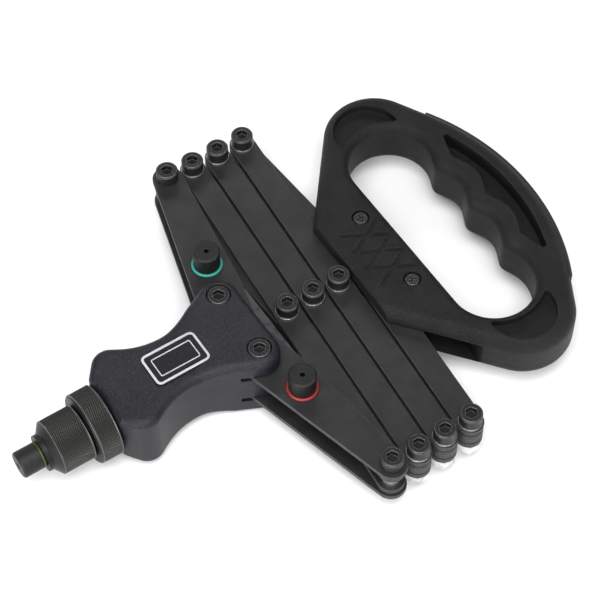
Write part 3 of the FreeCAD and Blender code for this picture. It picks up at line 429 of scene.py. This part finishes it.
# %% Knurled phosphate
def knurled_phosphate(name, crest, depth):
    film = Finish(name, metallic=0.5, specular=0.45)
    across = film.node("ShaderNodeVectorMath", {"operation": "MULTIPLY"}, (film.place, (0, 1, 1)))
    height = film.node("ShaderNodeVectorMath", {"operation": "LENGTH"}, (across,), output="Value")
    crystal, cloud = film.grain(0.18, 2), film.grain(4, 3)
    # painted glint on the polished points, and painted shade with dirt in the grooves
    point = film.step(height + crystal * 0.05, crest - depth * 0.65, crest + 0.02)
    groove_dirt_and_shade = film.blend(cloud, (0.004, 0.004, 0.004), (0.009, 0.009, 0.0085))
    return film.done(film.blend(point, groove_dirt_and_shade, (0.13, 0.127, 0.12)),
                     0.42 - point * 0.12 + crystal * 0.1, crystal, depth=0.012)


print("knurl finish ready, one for each knurled radius")

# %% [markdown]
# ## Dress the pieces
#
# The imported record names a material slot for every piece, so one loop can hand out the finishes.
# That is safer than a list of piece names, because a piece can't be forgotten.

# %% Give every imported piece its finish
slot_of = {entry["node"]: entry["material_slot"] for entry in frame["record"]["subparts"]}
for name, piece in nodes.items():
    piece.data.materials.clear()
    piece.data.materials.append(finishes[slot_of[name]])
print(len(finishes), "finishes on", len(nodes), "pieces")

# %% [markdown]
# ## Knurled grips of the nose
#
# A knurl is two families of helical grooves that cross and leave small pyramids. It could be a
# bump map, but its points break the outline, so it is modelled. The trick is that the grid of a
# turned surface already has the right corners: make every second grid point low, like a chess
# board, and split each square along its two low corners. Each high point then becomes a
# four-sided pyramid.

# %% Lathe with knurled bands
sharp_angle = math.radians(8)


def turned(name, profile, columns, stands_for, finish):
    """Turn a closed profile about X.

    Each corner is (x, radius, knurl rows up to the next corner, knurl depth).
    """
    rings, patterned = [], set()
    for here, after in zip(profile, profile[1:] + profile[:1]):
        x, radius, rows, depth = here
        rings.append([(x, radius)] * columns)
        for row in range(1, rows):
            along = x + (after[0] - x) * row / rows
            patterned.add(len(rings))
            rings.append([(along, radius - depth * ((row + column) % 2))
                          for column in range(columns)])
    points = []
    for ring in rings:
        for column, (x, radius) in enumerate(ring):
            turn = 2 * math.pi * column / columns
            points.append((x * MM, radius * math.cos(turn) * MM, radius * math.sin(turn) * MM))
    faces = []
    for number in range(len(rings)):
        after = (number + 1) % len(rings)
        for column in range(columns):
            beside = (column + 1) % columns
            a, b, c, d = (number * columns + column, number * columns + beside,
                          after * columns + beside, after * columns + column)
            if number in patterned or after in patterned:
                first_low = rings[number][column][1] < rings[number][beside][1] or \
                    rings[after][beside][1] < rings[after][column][1]
                faces += [(a, b, c), (a, c, d)] if first_low else [(b, c, d), (b, d, a)]
            else:
                faces.append((a, b, c, d))
    mesh = bpy.data.meshes.new(name)
    mesh.from_pydata(points, [], faces)
    mesh.validate()
    mesh.materials.append(finish)
    mesh.shade_smooth()
    mesh.set_sharp_from_angle(angle=sharp_angle)
    piece = bpy.data.objects.new(name, mesh)
    bpy.context.scene.collection.objects.link(piece)
    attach(piece, [body for body, members in frame["record"]["behaviour"]["bodies"].items()
                    if stands_for in members][0])
    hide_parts(stands_for)
    print(name, len(mesh.polygons), "faces")


print("lathe ready, edges over", round(math.degrees(sharp_angle)), "degrees stay sharp")

# %% [markdown]
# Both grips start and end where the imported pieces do, so their ends and outer radii are read
# from the frame. What lies inside, the bores and shoulders that the box can't tell, is given as
# lengths. Only the band between the two smooth chamfers is knurled, with rows about as long as
# columns are wide.

# %% Nose sleeve and lock ring
barrel_hole, nosepiece_hole, sleeve_bore = 10.05, 4.05, 7.4
knurl_depth, knurl_pitch, chamfer = 0.32, 0.5, 0.8
smooth = 1, 0


def knurl_grid(radius, start, end):
    """An even number of columns round a radius, and the rows that make the grid about square."""
    columns = 2 * round(math.pi * radius / knurl_pitch)
    return columns, round((end - start) / knurl_pitch)


sleeve_low, sleeve_high = (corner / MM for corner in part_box("nose_sleeve"))
front, back, outer = sleeve_low.x, sleeve_high.x, sleeve_high.y
collar_radius, collar_end, cone_end, wall_end, barrel_end = 8.4, 12.7, 15.7, 16.2, 20.0
columns, rows = knurl_grid(outer, cone_end, back - chamfer)
turned("knurled_sleeve",
       [(front, nosepiece_hole, *smooth), (front, collar_radius, *smooth),
        (collar_end, collar_radius, *smooth), (cone_end, outer, rows, knurl_depth),
        (back - chamfer, outer, *smooth), (back, outer - chamfer, *smooth),
        (back, barrel_hole, *smooth), (barrel_end, barrel_hole, *smooth),
        (barrel_end, sleeve_bore, *smooth), (wall_end, sleeve_bore, *smooth),
        (wall_end, nosepiece_hole, *smooth)],
       columns, "nose_sleeve", knurled_phosphate("sleeve_knurl", outer, knurl_depth))

ring_low, ring_high = (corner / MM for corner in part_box("lock_ring"))
front, back, outer = ring_low.x, ring_high.x, ring_high.y
columns, rows = knurl_grid(outer, front + chamfer, back - chamfer)
turned("knurled_lock_ring",
       [(front, barrel_hole, *smooth), (front, outer - chamfer, *smooth),
        (front + chamfer, outer, rows, knurl_depth), (back - chamfer, outer, *smooth),
        (back, outer - chamfer, *smooth), (back, barrel_hole, *smooth)],
       columns, "lock_ring", knurled_phosphate("lock_ring_knurl", outer, knurl_depth))

# %% [markdown]
# ## Bench
#
# A plain pale sheet at the height of the tool's lowest point catches its shadows. It belongs to
# the stage, not to the tool, so it is left out of the tool's box.

# %% Bench and the last lines
bench = bpy.data.meshes.new("bench")
reach = 4.0
bench.from_pydata([(-reach, -reach, low.z), (reach, -reach, low.z), (reach, reach, low.z),
                   (-reach, reach, low.z)], [], [(0, 1, 2, 3)])
pale = Finish("pale_bench", specular=0.1)
bench.materials.append(pale.done((0.8, 0.8, 0.8), 0.9))
bench_top = bpy.data.objects.new("bench", bench)
bpy.context.scene.collection.objects.link(bench_top)
print("bench at", round(low.z / MM, 1), "mm")
